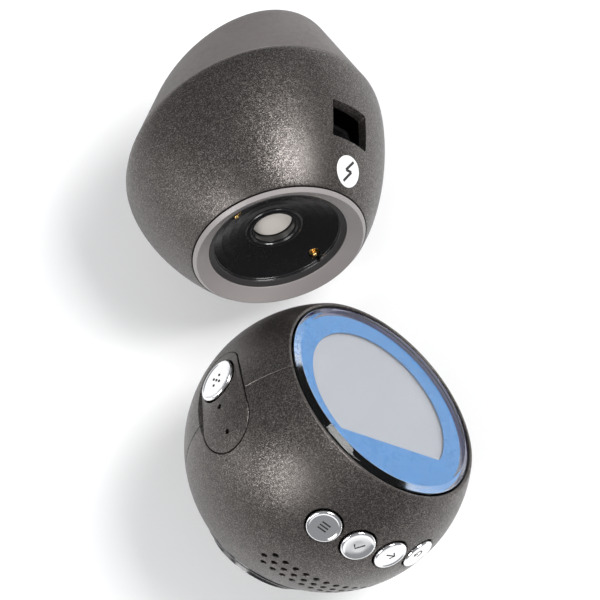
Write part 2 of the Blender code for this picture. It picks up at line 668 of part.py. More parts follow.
    foot = leaning(FOOT_CENTRE, FOOT_LEAN)
    inner_r = FOOT_R - FOOT_ROUNDING - FOOT_LIP
    rings = foot_rings(count)
    rings += [circle(inner_r, 0, count, foot),
              circle(EDGE_R - DOCK_WALL, -GAP, count, leaning(EDGE_CENTRE, EDGE_LEAN))]
    solid("dock_foot", [p for ring in rings for p in ring], ring_faces(len(rings), count, False), matte,
          dock)
    plate_r = inner_r - GAP
    plate_low = 0.8
    plate = cylinder("foot_plate", plate_r, plate_low, plate_low + FOOT_PLATE_T, steel, dock, foot, 40)
    cylinder("foot_pad", plate_r, -FOOT_PAD_PROUD, plate_low - GAP, rubber, dock, foot, 40)
    ballast_low = plate_low + FOOT_PLATE_T + GAP
    ballast = cylinder("ballast_weight", BALLAST_R, ballast_low, ballast_low + BALLAST_T, steel, dock,
                       foot, 32)
    head_t = 0.7
    for i, side in enumerate((-1, 1)):
        place = foot @ Matrix.Translation((side * SCREW_PITCH_R, 0, 0))
        hole = cylinder(f"screw_hole_{i + 1}", SCREW_R + GAP, -5, 30, black, dock, place, 16)
        cut(plate, hole)
        cut(ballast, hole)
        seat_z = plate_low + head_t + GAP
        cut(plate, cylinder(f"screw_seat_{i + 1}", SCREW_HEAD_R + GAP, -5, seat_z, black, dock, place, 16))
        screw = [(SCREW_HEAD_R, plate_low), (SCREW_HEAD_R, plate_low + head_t),
                 (SCREW_R, plate_low + head_t), (SCREW_R, ballast_low + BALLAST_T - 0.5)]
        turned(f"foot_screw_{i + 1}", screw, steel, dock, place, 16)


# The two pieces on the table ------------------------------------------------------------------


def main():
    clear_scene()
    turn = aimed(direction(*DOCK_AXIS), direction(*DOCK_PORT), True)
    rest = -min((turn @ p).z for ring in foot_rings(360) for p in ring)
    dock = empty("dock_frame", Matrix.Translation((0, 0, rest)) @ turn)
    place = Vector((*METER_FROM_DOCK, BALL_R))
    pose = aimed(direction(*METER_WINDOW), direction(*METER_FRONT), False)
    meter = empty("meter_frame", Matrix.Translation(place) @ pose)
    build_dock(dock)
    build_meter(meter)
    centre_on_origin((dock, meter))


def centre_on_origin(roots):
    """Moves both pieces so that the middle of their footprint is the origin and the lowest point is 0."""
    bpy.context.view_layer.update()
    graph = bpy.context.evaluated_depsgraph_get()
    points = []
    for obj in bpy.context.scene.objects:
        if obj.type == "MESH" and not obj.hide_render:
            mesh = obj.evaluated_get(graph).to_mesh()
            points += [obj.matrix_world @ v.co for v in mesh.vertices]
            obj.evaluated_get(graph).to_mesh_clear()
    lows = [min(p[i] for p in points) for i in range(3)]
    highs = [max(p[i] for p in points) for i in range(3)]
    shift = Vector((-(lows[0] + highs[0]) / 2, -(lows[1] + highs[1]) / 2, -lows[2]))
    for root in roots:
        root.location += shift
    bpy.context.view_layer.update()


main()
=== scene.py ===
"""Looks of a ball-shaped handheld light meter lying beside its magnetic charging dock."""

import bmesh
import bpy
import json
from math import asin, atan2, cos, degrees, hypot, pi, radians, sin, sqrt, tan, tau
from mathutils import Matrix, Vector
from mathutils.geometry import intersect_line_line


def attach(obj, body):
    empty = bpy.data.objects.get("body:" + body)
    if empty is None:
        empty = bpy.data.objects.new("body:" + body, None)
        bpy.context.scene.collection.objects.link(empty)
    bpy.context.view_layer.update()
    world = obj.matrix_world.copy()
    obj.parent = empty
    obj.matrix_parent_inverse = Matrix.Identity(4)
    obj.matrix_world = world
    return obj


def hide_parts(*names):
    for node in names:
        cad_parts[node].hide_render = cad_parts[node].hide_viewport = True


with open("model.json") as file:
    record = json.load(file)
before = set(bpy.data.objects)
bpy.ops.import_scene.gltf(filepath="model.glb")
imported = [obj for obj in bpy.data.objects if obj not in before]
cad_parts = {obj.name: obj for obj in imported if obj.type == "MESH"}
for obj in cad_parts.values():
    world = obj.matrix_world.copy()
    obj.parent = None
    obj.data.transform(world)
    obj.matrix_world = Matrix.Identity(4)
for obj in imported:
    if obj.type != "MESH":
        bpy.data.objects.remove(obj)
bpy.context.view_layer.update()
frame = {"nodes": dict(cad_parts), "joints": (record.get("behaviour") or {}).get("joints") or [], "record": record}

# ------------------------------------------------------------------------------------------
# How the two pieces lie. Every key travels along a radius of the ball, so two key axes meet
# at its centre. The dock's sprung pins travel along the axis of its cup.
# Sizes below are in millimetres, in each piece's own frame.
MM = 0.001
BALL_R = 32.0
SEAT_Z = 23.7
joint_axis = {joint["name"]: Vector(joint["axis"]) for joint in frame["joints"]}


def mean_point(node):
    points = [v.co for v in frame["nodes"][node].data.vertices]
    return sum(points, Vector()) / len(points)


def frame_of(origin, z, x_hint):
    x = (x_hint - x_hint.dot(z) * z).normalized()
    turn = Matrix((x, z.cross(x), z)).transposed().to_4x4()
    return Matrix.Translation(origin) @ turn


menu, back = mean_point("key_menu"), mean_point("key_back")
ball_centre = sum(intersect_line_line(menu, menu + joint_axis["key_menu_press"],
                                      back, back + joint_axis["key_back_press"]), Vector()) / 2
window_axis = (mean_point("window_lens") - ball_centre).normalized()
key_side = -(joint_axis["key_ok_press"] + joint_axis["key_next_press"])
meter = frame_of(ball_centre, window_axis, key_side.cross(-window_axis))

cup_axis = -joint_axis["pogo_1_press"].normalized()
pin_middle = (mean_point("pogo_plunger_1") + mean_point("pogo_plunger_2")) / 2
seat_height = max(v.co.dot(cup_axis) for v in frame["nodes"]["seat_ring"].data.vertices)
dock_origin = pin_middle + cup_axis * (seat_height - SEAT_Z * MM - pin_middle.dot(cup_axis))
dock = frame_of(dock_origin, cup_axis, mean_point("usb_receptacle") - dock_origin)

# ------------------------------------------------------------------------------------------
# Table and light: a pale sweep, a front, a left and a right softbox, and a dim room around them.
FLOOR_SIZE = 2.4
FLOOR_COLOUR = (0.93, 0.93, 0.93)


def new_material(name, **values):
    """A Principled material. Values are set on the shader's own sockets."""
    material = bpy.data.materials.new(name)
    material.use_nodes = True
    shader = material.node_tree.nodes["Principled BSDF"]
    for socket, value in values.items():
        socket_name = socket.replace("_", " ")
        shader.inputs[socket_name].default_value = (*value, 1.0) if isinstance(value, tuple) else value
    return material


def node(material, kind, x, y, **inputs):
    made = material.node_tree.nodes.new(kind)
    made.location = (x, y)
    for name, value in inputs.items():
        made.inputs[name.replace("_", " ")].default_value = value
    return made


def link(material, source, target):
    material.node_tree.links.new(source, target)


def effect_group(name, inputs, outputs):
    """An empty shader group with named float inputs, and outputs given as name and kind."""
    group = bpy.data.node_groups.new(name, "ShaderNodeTree")
    for socket, default in inputs:
        made = group.interface.new_socket(socket, in_out="INPUT", socket_type="NodeSocketFloat")
        made.default_value = default
    for socket, kind in outputs:
        group.interface.new_socket(socket, in_out="OUTPUT", socket_type=kind)
    return group


# Faint uneven sheen of things that are handled: soft clouds broken by finer specks.
handling = effect_group("handling_marks", [("Cloud Scale", 60.0), ("Amount", 0.5)],
                        [("Marks", "NodeSocketFloat")])
nodes, links = handling.nodes, handling.links
entry, leave = nodes.new("NodeGroupInput"), nodes.new("NodeGroupOutput")
place = nodes.new("ShaderNodeTexCoord")
cloud, speck = nodes.new("ShaderNodeTexNoise"), nodes.new("ShaderNodeTexNoise")
cloud.inputs["Detail"].default_value = 3.0
speck.inputs["Scale"].default_value = 900.0
speck.inputs["Detail"].default_value = 2.0
both, scaled = nodes.new("ShaderNodeMath"), nodes.new("ShaderNodeMath")
both.operation, scaled.operation = "MULTIPLY", "MULTIPLY"
links.new(place.outputs["Object"], cloud.inputs["Vector"])
links.new(place.outputs["Object"], speck.inputs["Vector"])
links.new(entry.outputs["Cloud Scale"], cloud.inputs["Scale"])
links.new(cloud.outputs["Fac"], both.inputs[0])
links.new(speck.outputs["Fac"], both.inputs[1])
links.new(both.outputs[0], scaled.inputs[0])
links.new(entry.outputs["Amount"], scaled.inputs[1])
links.new(scaled.outputs[0], leave.inputs["Marks"])


def vary_roughness(material, low, high, cloud_scale=60.0):
    """Moves the material's roughness between two values with the handling marks."""
    marks = node(material, "ShaderNodeGroup", -900, -200)
    marks.node_tree = handling
    marks.inputs["Cloud Scale"].default_value = cloud_scale
    marks.inputs["Amount"].default_value = 1.0
    spread = node(material, "ShaderNodeMapRange", -650, -200)
    spread.inputs["From Min"].default_value = 0.15
    spread.inputs["From Max"].default_value = 0.35
    spread.inputs["To Min"].default_value = low
    spread.inputs["To Max"].default_value = high
    link(material, marks.outputs["Marks"], spread.inputs["Value"])
    link(material, spread.outputs["Result"],
         material.node_tree.nodes["Principled BSDF"].inputs["Roughness"])
    return marks


floor_mesh = bpy.data.meshes.new("table_top")
half = FLOOR_SIZE / 2
floor_mesh.from_pydata([(-half, -half, 0), (half, -half, 0), (half, half, 0), (-half, half, 0)], [],
                       [(0, 1, 2, 3)])
table = bpy.data.objects.new("table_top", floor_mesh)
bpy.context.scene.collection.objects.link(table)
table_paper = new_material("table_paper", Base_Color=FLOOR_COLOUR, Roughness=0.9)
vary_roughness(table_paper, 0.85, 0.95, 8.0)
floor_mesh.materials.append(table_paper)


def softbox(name, place, size, watts, colour=(1.0, 1.0, 1.0), aim=(0.0, 0.0, 0.02)):
    data = bpy.data.lights.new(name, "AREA")
    data.shape = "RECTANGLE"
    data.size, data.size_y = size
    data.energy = watts
    data.color = colour
    lamp = bpy.data.objects.new(name, data)
    lamp.location = place
    lamp.rotation_euler = (Vector(aim) - Vector(place)).to_track_quat("-Z", "Y").to_euler()
    bpy.context.scene.collection.objects.link(lamp)


softbox("softbox_front", (-0.42, -0.42, 0.6), (0.4, 0.4), 3.9)
softbox("softbox_left", (-0.8, -0.2, 0.26), (0.4, 0.3), 1.1)
softbox("softbox_right", (0.36, 0.16, 0.62), (0.34, 0.34), 5.2)
room = bpy.data.worlds.new("pale_room")
room.use_nodes = True
room.node_tree.nodes["Background"].inputs["Color"].default_value = (0.9, 0.92, 0.95, 1.0)
room.node_tree.nodes["Background"].inputs["Strength"].default_value = 0.36
bpy.context.scene.world = room
bpy.context.scene.view_settings.view_transform = "Standard"

# Camera: about 0.42 m off, looking steeply down on the table.
CAMERA_FROM_BALL = (-6.27, -59.48, 411.68)
CAMERA_DIP = 77.27
camera_data = bpy.data.cameras.new("camera")
camera_data.lens = 111.8
camera_data.sensor_width = 36.0
camera_data.clip_start = 0.01
camera = bpy.data.objects.new("camera", camera_data)
camera.location = ball_centre + Vector(CAMERA_FROM_BALL) * MM
camera.rotation_euler = (radians(90 - CAMERA_DIP), 0.0, 0.0)
bpy.context.scene.collection.objects.link(camera)
bpy.context.scene.camera = camera

# ------------------------------------------------------------------------------------------
# Front and rear shells: two thin half balls of moulded plastic that meet along the plane
# through the window's axis. Both are sprayed with a dark warm-grey lacquer full of fine
# metal flake. The edges round the window, the keys and the speaker holes are broken.
BALL_WALL = 2.0
WINDOW_R = 25.7
WINDOW_BORE = 24.95
SEAM_HALF = 0.07
EDGE_BREAK = 0.12
KEY_R = 3.8
KEY_GAP = 0.32
KEY_ELEVATION = 10.2
KEY_PITCH = 16.6
GRILLE_R = 0.68
GRILLE_STEP = 5.15
GRILLE_ROW_STEP = 4.7
GRILLE_COUNTS = (12, 13, 12)
SPEAKER_ELEVATION = -20.6
BASE_ELEVATION = -70.0
BASE_R = 14.6
SIDE_KEY_R = 4.9
SIDE_AZIMUTH = 103.0
SIDE_ELEVATION = 3.0
LED_AZIMUTH = 89.6
SENSOR_AZIMUTH = 78.0
PANEL_T = 1.1
PANEL_REAR = (105.8, 11.2)
PANEL_FRONT = (83.4, 12.8)
PAINT_DARK = (0.030, 0.026, 0.024)
PAINT_LIGHT = (0.19, 0.172, 0.162)
PAINT_MIDDLE = (0.085, 0.076, 0.071)

# Metal flake: cells of random tone, each tilting the surface a little its own way.
flake = effect_group("metal_flake", [("Flakes per Metre", 4800.0), ("Tilt", 0.2)],
                     [("Tone", "NodeSocketFloat"), ("Normal", "NodeSocketVector")])
nodes, links = flake.nodes, flake.links
entry, leave = nodes.new("NodeGroupInput"), nodes.new("NodeGroupOutput")
place = nodes.new("ShaderNodeTexCoord")
cells = nodes.new("ShaderNodeTexVoronoi")
split = nodes.new("ShaderNodeSeparateColor")
centred, tilted, added = (nodes.new("ShaderNodeVectorMath") for _ in range(3))
unit = nodes.new("ShaderNodeVectorMath")
surface = nodes.new("ShaderNodeNewGeometry")
centred.operation, tilted.operation, added.operation = "SUBTRACT", "SCALE", "ADD"
unit.operation = "NORMALIZE"
centred.inputs[1].default_value = (0.5, 0.5, 0.5)
links.new(place.outputs["Object"], cells.inputs["Vector"])
links.new(entry.outputs["Flakes per Metre"], cells.inputs["Scale"])
links.new(cells.outputs["Color"], split.inputs["Color"])
links.new(split.outputs["Red"], leave.inputs["Tone"])
links.new(cells.outputs["Color"], centred.inputs[0])
links.new(centred.outputs["Vector"], tilted.inputs[0])
links.new(entry.outputs["Tilt"], tilted.inputs["Scale"])
links.new(tilted.outputs["Vector"], added.inputs[0])
links.new(surface.outputs["Normal"], added.inputs[1])
links.new(added.outputs["Vector"], unit.inputs[0])
links.new(unit.outputs["Vector"], leave.inputs["Normal"])


def flake_lacquer():
    material = new_material("flake_lacquer", Metallic=0.8, Coat_Weight=0.12, Coat_Roughness=0.3,
                            Specular_IOR_Level=0.4)
    shader = material.node_tree.nodes["Principled BSDF"]
    flakes = node(material, "ShaderNodeGroup", -900, 200)
    flakes.node_tree = flake
    flakes.inputs["Flakes per Metre"].default_value = 6200.0
    flakes.inputs["Tilt"].default_value = 0.2
    ramp = node(material, "ShaderNodeValToRGB", -600, 250)
    ramp.color_ramp.elements[0].color = (*PAINT_DARK, 1.0)
    ramp.color_ramp.elements[1].color = (*PAINT_LIGHT, 1.0)
    middle = ramp.color_ramp.elements.new(0.7)
    middle.color = (*PAINT_MIDDLE, 1.0)
    link(material, flakes.outputs["Tone"], ramp.inputs["Fac"])
    link(material, ramp.outputs["Color"], shader.inputs["Base Color"])
    link(material, flakes.outputs["Normal"], shader.inputs["Normal"])
    vary_roughness(material, 0.36, 0.46, 45.0)
    return material


lacquer = flake_lacquer()


def direction(azimuth, elevation):
    a, e = radians(azimuth), radians(elevation)
    return Vector((sin(a) * cos(e), -cos(a) * cos(e), sin(e)))


def on_ball(azimuth, elevation, height=0.0):
    """A frame on the ball whose Z points outward. Azimuth turns from the keys to the side key."""
    z = direction(-azimuth, elevation)
    return frame_of(z * height, z, Vector((0, 0, 1)))


def mesh_object(name, points, faces, place=Matrix(), material=None, owner=None):
    """A mesh from millimetre points in `place`, a frame of the piece `owner`."""
    data = bpy.data.meshes.new(name)
    data.from_pydata([(place @ Vector(p)) * MM for p in points], [], faces)
    work = bmesh.new()
    work.from_mesh(data)
    bmesh.ops.remove_doubles(work, verts=work.verts, dist=1e-7)
    bmesh.ops.recalc_face_normals(work, faces=work.faces)
    work.to_mesh(data)
    work.free()
    made = bpy.data.objects.new(name, data)
    bpy.context.scene.collection.objects.link(made)
    if owner is not None:
        made.matrix_world = owner
    if material is not None:
        data.materials.append(material)
    return made


def band_faces(rings, count, loop=False, around=True):
    """Quads between rings of `count` points. A loop joins the last ring to the first."""
    faces = []
    for low in range(rings if loop else rings - 1):
        high = (low + 1) % rings
        for i in range(count if around else count - 1):
            j = (i + 1) % count
            faces.append((low * count + i, low * count + j, high * count + j, high * count + i))
    return faces


def turned(name, profile, place=Matrix(), material=None, owner=None, steps=96, loop=False):
    """A solid turned about Z from (radius, z) points. A loop profile makes a ring."""
    points = [(r * cos(tau * i / steps), r * sin(tau * i / steps), z)
              for r, z in profile for i in range(steps)]
    faces = band_faces(len(profile), steps, loop)
    if not loop:
        faces.append(tuple(reversed(range(steps))))
        faces.append(tuple(range((len(profile) - 1) * steps, len(profile) * steps)))
    return mesh_object(name, points, faces, place, material, owner)


def eased(profile, radius, steps=4, loop=True):
    """The profile with each corner rounded, by no more than `radius` along either side."""
    count, out = len(profile), []
    for i, (x, y) in enumerate(profile):
        if not loop and i in (0, count - 1):
            out.append((x, y))
            continue
        before, after = profile[i - 1], profile[(i + 1) % count]
        legs = []
        for px, py in (before, after):
            length = hypot(px - x, py - y)
            share = min(radius, 0.45 * length) / length
            legs.append((x + (px - x) * share, y + (py - y) * share))
        for k in range(steps + 1):
            t = k / steps
            a, b, c = (1 - t) ** 2, 2 * t * (1 - t), t * t
            out.append((a * legs[0][0] + b * x + c * legs[1][0],
                        a * legs[0][1] + b * y + c * legs[1][1]))
    return out


def arc(radius, start, end, steps, centre_z=0.0):
    angles = [radians(start + (end - start) * i / steps) for i in range(steps + 1)]
    return [(radius * cos(a), centre_z + radius * sin(a)) for a in angles]


def joined(name, pieces):
    """One object out of cutters that don't meet."""
    work = bmesh.new()
    for piece in pieces:
        work.from_mesh(piece.data)
        bpy.data.objects.remove(piece)
    data = bpy.data.meshes.new(name)
    work.to_mesh(data)
    work.free()
    made = bpy.data.objects.new(name, data)
    bpy.context.scene.collection.objects.link(made)
    return made


def cut_away(piece, cutters):
    """Cuts the cutters out of the piece for good. They share the piece's own frame."""
    for cutter in cutters:
        cutter.matrix_world = piece.matrix_world
        boolean = piece.modifiers.new("cut", "BOOLEAN")
        boolean.solver = "EXACT"
        boolean.operation = "DIFFERENCE"
        boolean.object = cutter
    bpy.context.view_layer.update()
    settled = piece.evaluated_get(bpy.context.evaluated_depsgraph_get())
    data = bpy.data.meshes.new_from_object(settled)
    piece.modifiers.clear()
    piece.data = data
    for cutter in cutters:
        bpy.data.objects.remove(cutter)


def smooth(piece, angle=35.0):
    """Smooth shading with crisp corners, weighted so that flat faces stay flat."""
    piece.data.shade_smooth()
    piece.data.set_sharp_from_angle(angle=radians(angle))
    weighted = piece.modifiers.new("weighted_normals", "WEIGHTED_NORMAL")
    weighted.keep_sharp = True
    return piece


def round_shading(piece, radius, tolerance=0.03):
    """Gives every point on the ball's own surface the ball's true normal."""
    data = piece.data
    data.shade_smooth()
    data.set_sharp_from_angle(angle=radians(30))
    normals = [Vector(n.vector) for n in data.corner_normals]
    for face in data.polygons:
        for corner in face.loop_indices:
            point = data.vertices[data.loops[corner].vertex_index].co
            if abs(point.length - radius * MM) < tolerance * MM:
                outward = point.normalized()
                if face.normal.dot(outward) > 0.97:
                    normals[corner] = outward
    data.normals_split_custom_set(normals)
    return piece


def ball_hole(radius, azimuth, elevation, floor, steps=48, lip=EDGE_BREAK):
    """A cutter for a round hole in the ball, with its edge broken by `lip`."""
    edge = sqrt(BALL_R**2 - radius**2)
    profile = [(radius, floor), (radius, edge - lip), (radius + 1.2, edge + 1.2 - lip)]
    return turned("hole", profile, on_ball(azimuth, elevation), steps=steps)


def panel_outline(extra, steps=20):
    """Azimuth and elevation round the teardrop panel, `extra` millimetres outside its edge."""
    span = PANEL_REAR[0] - PANEL_FRONT[0]
    spread = degrees(asin((PANEL_FRONT[1] - PANEL_REAR[1]) / span))
    grow = degrees(extra / BALL_R)
    outline = []
    for along, size, start, end in ((0.0, PANEL_FRONT[1], 90 - spread, 270 + spread),
                                    (span, PANEL_REAR[1], -90 + spread, 90 - spread)):
        for i in range(steps + 1):
            a = radians(start + (end - start) * i / steps)
            outline.append((PANEL_FRONT[0] + along + (size + grow) * cos(a),
                            SIDE_ELEVATION + (size + grow) * sin(a)))
    return outline


def panel_solid(name, layers, material=None, owner=None):
    """A solid that follows the ball inside the panel's outline.

    Each layer is a radius, how far outside the outline it lies, and its share of the way out
    from the panel's middle.
    """
    centre = ((PANEL_FRONT[0] + PANEL_REAR[0]) / 2, SIDE_ELEVATION)
    points = []
    for radius, extra, share in layers:
        for azimuth, elevation in panel_outline(extra):
            a = centre[0] + (azimuth - centre[0]) * share
            e = centre[1] + (elevation - centre[1]) * share
            points.append(direction(-a, e) * radius)
    count = len(panel_outline(0.0))
    faces = band_faces(len(layers), count)
    faces.append(tuple(reversed(range(count))))
    faces.append(tuple(range((len(layers) - 1) * count, len(layers) * count)))
    return mesh_object(name, points, faces, Matrix(), material, owner)


def ball_half(name, side, material):
    inner = BALL_R - BALL_WALL
    rim_z = sqrt(BALL_R**2 - WINDOW_R**2)
    top = degrees(asin(rim_z / BALL_R))
    bore_low = sqrt(inner**2 - WINDOW_BORE**2)
    outer_arc = arc(BALL_R, -90, top - 0.5, 92)
    rim = eased([outer_arc[-2], (WINDOW_R, rim_z), (WINDOW_BORE, rim_z), (WINDOW_BORE, bore_low)],
                0.3, 5, loop=False)[1:]
    inner_arc = arc(inner, degrees(asin(bore_low / inner)) - 1, -90, 40)
    profile = outer_arc[:-1] + rim + inner_arc
    turns = 120
    rings = [[(r * (1 - EDGE_BREAK / BALL_R), SEAM_HALF, z * (1 - EDGE_BREAK / BALL_R))
              for r, z in profile]]
    rings.append([(r, SEAM_HALF + EDGE_BREAK, z) for r, z in profile])
    for i in range(1, turns):
        t = pi * i / turns
        rings.append([(r * cos(t), max(r * sin(t), EDGE_BREAK) + SEAM_HALF, z) for r, z in profile])
    rings.append([(-r, SEAM_HALF + EDGE_BREAK, z) for r, z in profile])
    rings.append([(-x, y, z) for x, y, z in rings[0]])
    points = [(x, side * y, z) for ring in rings for x, y, z in ring]
    count = len(profile)
    faces = band_faces(len(rings), count)
    faces.append(tuple(range(count)))
    faces.append(tuple(range((len(rings) - 1) * count, len(rings) * count)))
    return mesh_object(name, points, faces, Matrix(), material, meter)


front_shell = ball_half("front_half_ball", -1, lacquer)
rear_shell = ball_half("rear_half_ball", 1, lacquer)
key_azimuths = [KEY_PITCH * (1.5 - i) for i in range(4)]
deep = BALL_R - 3 * BALL_WALL
recess = [(BALL_R - PANEL_T - 0.1, 0.22, share) for share in (0.1, 0.4, 0.7, 1.0)]
recess += [(BALL_R - EDGE_BREAK, 0.22, 1.0), (BALL_R + 1.0, 0.22 + 1.0, 1.0)]
recess += [(BALL_R + 1.5, 1.22, share) for share in (0.7, 0.4, 0.1)]
for shell in (front_shell, rear_shell):
    cut_away(shell, [
        turned("base_opening", [(BASE_R + 0.15, deep), (BASE_R + 0.15, BALL_R + 3)],
               on_ball(0.0, BASE_ELEVATION), steps=96),
        panel_solid("panel_recess", recess),
        ball_hole(SIDE_KEY_R + KEY_GAP, SIDE_AZIMUTH, SIDE_ELEVATION, deep),
        ball_hole(1.2, LED_AZIMUTH, SIDE_ELEVATION, deep, 16),
        ball_hole(1.2, SENSOR_AZIMUTH, SIDE_ELEVATION, deep, 16),
    ])
holes = [ball_hole(KEY_R + KEY_GAP, azimuth, KEY_ELEVATION, deep, 64, 0.2) for azimuth in key_azimuths]
for row, count in enumerate(GRILLE_COUNTS):
    elevation = SPEAKER_ELEVATION + (1 - row) * GRILLE_ROW_STEP
    for i in range(count):
        holes.append(ball_hole(GRILLE_R, (i - (count - 1) / 2) * GRILLE_STEP, elevation, deep, 20, 0.1))
cut_away(front_shell, [joined("front_holes", holes)])
for shell, cad in ((front_shell, "front_shell"), (rear_shell, "rear_shell")):
    round_shading(shell, BALL_R)
    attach(shell, "meter")
    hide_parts(cad)

# ------------------------------------------------------------------------------------------
# Side panel: a teardrop cover of the same lacquered plastic, set flush in a recess on the
# left side. It carries the side key and two small ports for a light and a sensor.
plate = [(BALL_R - PANEL_T + 0.02, 0.0, share) for share in (0.1, 0.4, 0.7, 1.0)]
plate += [(BALL_R - EDGE_BREAK, 0.0, 1.0), (BALL_R, -EDGE_BREAK, 1.0)]
plate += [(BALL_R, -EDGE_BREAK, 1 - i / 14) for i in range(1, 14)]
side_panel = panel_solid("side_cover", plate, lacquer, meter)
cut_away(side_panel, [
    ball_hole(SIDE_KEY_R + KEY_GAP, SIDE_AZIMUTH, SIDE_ELEVATION, deep, 64, 0.16),
    ball_hole(0.55, LED_AZIMUTH, SIDE_ELEVATION, deep, 20, 0.12),
    ball_hole(0.55, SENSOR_AZIMUTH, SIDE_ELEVATION, deep, 20, 0.12),
])
round_shading(side_panel, BALL_R)
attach(side_panel, "meter")
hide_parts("side_panel")

# A small printed wave mark beside the ports, in dark ink.
ink = new_material("dark_ink", Base_Color=(0.012, 0.011, 0.011))
vary_roughness(ink, 0.4, 0.55)


def strokes(name, lines, width, height, surface, material, owner):
    """Thin raised lines. `surface` turns (x, y, height) into a point of the owner's frame."""
    points, faces = [], []
    for line in lines:
        path = [Vector(p) for p in line]
        start = len(points)
        for i, p in enumerate(path):
            ahead = (path[min(i + 1, len(path) - 1)] - path[max(i - 1, 0)]).normalized()
            across = Vector((-ahead.y, ahead.x)) * width / 2
            for x, y, h in ((p.x + across.x, p.y + across.y, -height),
                            (p.x - across.x, p.y - across.y, -height),
                            (p.x - across.x, p.y - across.y, height),
                            (p.x + across.x, p.y + across.y, height)):
                points.append(surface(x, y, h))
        for low, high, *turn in band_faces(len(path), 4):
            faces.append((start + low, start + high, *(start + t for t in turn)))
        faces.append(tuple(start + i for i in (0, 1, 2, 3)))
        last = start + 4 * (len(path) - 1)
        faces.append(tuple(last + i for i in (3, 2, 1, 0)))
    return mesh_object(name, points, faces, Matrix(), material, owner)


def on_side(x, y, h):
    """Millimetres along and up the side panel from its light port."""
    azimuth = -(LED_AZIMUTH + degrees(x / BALL_R))
    return direction(azimuth, SIDE_ELEVATION + degrees(y / BALL_R)) * (BALL_R + h)


waves = [[(cos(radians(a)) * r - 0.4, sin(radians(a)) * r + 2.0) for a in range(-50, 51, 10)]
         for r in (0.5, 1.0, 1.5)]
side_mark = strokes("side_wave_mark", waves, 0.16, 0.015, on_side, ink, meter)
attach(side_mark, "meter")

# ------------------------------------------------------------------------------------------
# Keys: bright chromed caps with a rounded rim and a flat face, each in its own round hole.
# The four in front carry dark printed signs, and the side key five raised dots.
CHROME = (0.80, 0.80, 0.81)
chrome = new_material("bright_chrome", Base_Color=CHROME, Metallic=1.0, Specular_IOR_Level=0.6)
vary_roughness(chrome, 0.05, 0.12, 220.0)


def key_top(radius):
    return 0.6 - (BALL_R - sqrt(BALL_R**2 - radius**2))


def key_cap(name, radius, azimuth, elevation, body, cad):
    """A chromed cap whose frame stands on the ball's surface."""
    top = key_top(radius)
    outline = [(radius, -3.1), (radius, top - 0.42)]
    outline += [(radius - 0.42 + 0.42 * cos(a), top - 0.42 + 0.42 * sin(a))
                for a in (radians(15 * i) for i in range(1, 7))]
    outline += [(radius - 0.42 - 0.38 * sin(a), top - 0.38 + 0.38 * cos(a))
                for a in (radians(15 * i) for i in range(1, 4))]
    flat = radius - 0.95
    outline += [(flat, top - 0.17), (flat - 0.25, top - 0.2), (flat * 0.5, top - 0.19),
                (0.05, top - 0.18)]
    cap = turned(name, outline, on_ball(azimuth, elevation, BALL_R), chrome, meter, 64)
    smooth(cap)
    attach(cap, body)
    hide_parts(cad)
    return cap


def on_key(azimuth, elevation, radius):
    """Lines drawn on a key's flat face: x to the right and y up, as the key is read."""
    place = on_ball(azimuth, elevation, BALL_R)
    up = place.to_3x3().transposed() @ Vector((0, 0, 1))
    up = Vector((up.x, up.y, 0)).normalized()
    right = up.cross(Vector((0, 0, 1)))
    face = key_top(radius) - 0.18
    return lambda x, y, h: place @ (right * x + up * y + Vector((0, 0, face + h)))


def ring_line(radius, start, end, step=15):
    return [(radius * cos(radians(a)), radius * sin(radians(a))) for a in range(start, end + 1, step)]


key_signs = {
    "key_menu": [[(-1.1, 0.8), (1.1, 0.8)], [(-1.1, 0.0), (1.1, 0.0)], [(-1.1, -0.8), (1.1, -0.8)]],
    "key_ok": [[(-1.1, 0.1), (-0.3, -0.8), (1.2, 0.9)]],
    "key_next": [[(-1.2, 0.0), (1.2, 0.0)], [(0.3, 0.9), (1.2, 0.0), (0.3, -0.9)]],
    "key_back": [ring_line(1.0, -60, 210), [(-1.5, 0.3), (-0.87, -0.5), (-0.2, 0.1)]],
}
for azimuth, (name, sign) in zip(key_azimuths, key_signs.items()):
    key_cap(name + "_cap", KEY_R, azimuth, KEY_ELEVATION, name + "_body", name)
    drawn = strokes(name + "_sign", sign, 0.34, 0.02, on_key(azimuth, KEY_ELEVATION, KEY_R), ink, meter)
    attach(drawn, name + "_body")
key_cap("side_key_cap", SIDE_KEY_R, SIDE_AZIMUTH, SIDE_ELEVATION, "side_key_body", "side_key")
side_face = on_key(SIDE_AZIMUTH, SIDE_ELEVATION, SIDE_KEY_R)
DOT_PLACES = [(0, 0)] + [(1.3 * cos(radians(a)), 1.3 * sin(radians(a))) for a in (45, 135, 225, 315)]
dots = []
for x, y in DOT_PLACES:
    centre = side_face(x, y, -0.1)
    axis = (side_face(x, y, 1.0) - side_face(x, y, 0.0)).normalized()
    dome = [(0.34, 0.0), (0.34, 0.1), (0.28, 0.2), (0.16, 0.27), (0.02, 0.3)]
    dots.append(turned("dot", dome, frame_of(centre, axis, Vector((0, 0, 1))), steps=16))
side_dots = joined("side_key_dots", dots)
side_dots.matrix_world = meter
side_dots.data.materials.append(ink)
smooth(side_dots)
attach(side_dots, "side_key_body")

# ------------------------------------------------------------------------------------------
# Window: a thick clear acrylic disc with a wide polished bevel, pressed into the rim. Its
# underside is printed: a dark border under the bevel and a light blue band round the screen.
LENS_R = 24.7
LENS_T = 3.4
LENS_PROUD = 0.8
SCREEN_R = 18.4
SCREEN_EDGE = 11.8
BAND_R = 23.0
BAND_BLUE = (0.003, 0.085, 0.22)
BORDER_NAVY = (0.006, 0.007, 0.035)
lens_top = sqrt(BALL_R**2 - WINDOW_R**2) + LENS_PROUD
lens_low = lens_top - LENS_T

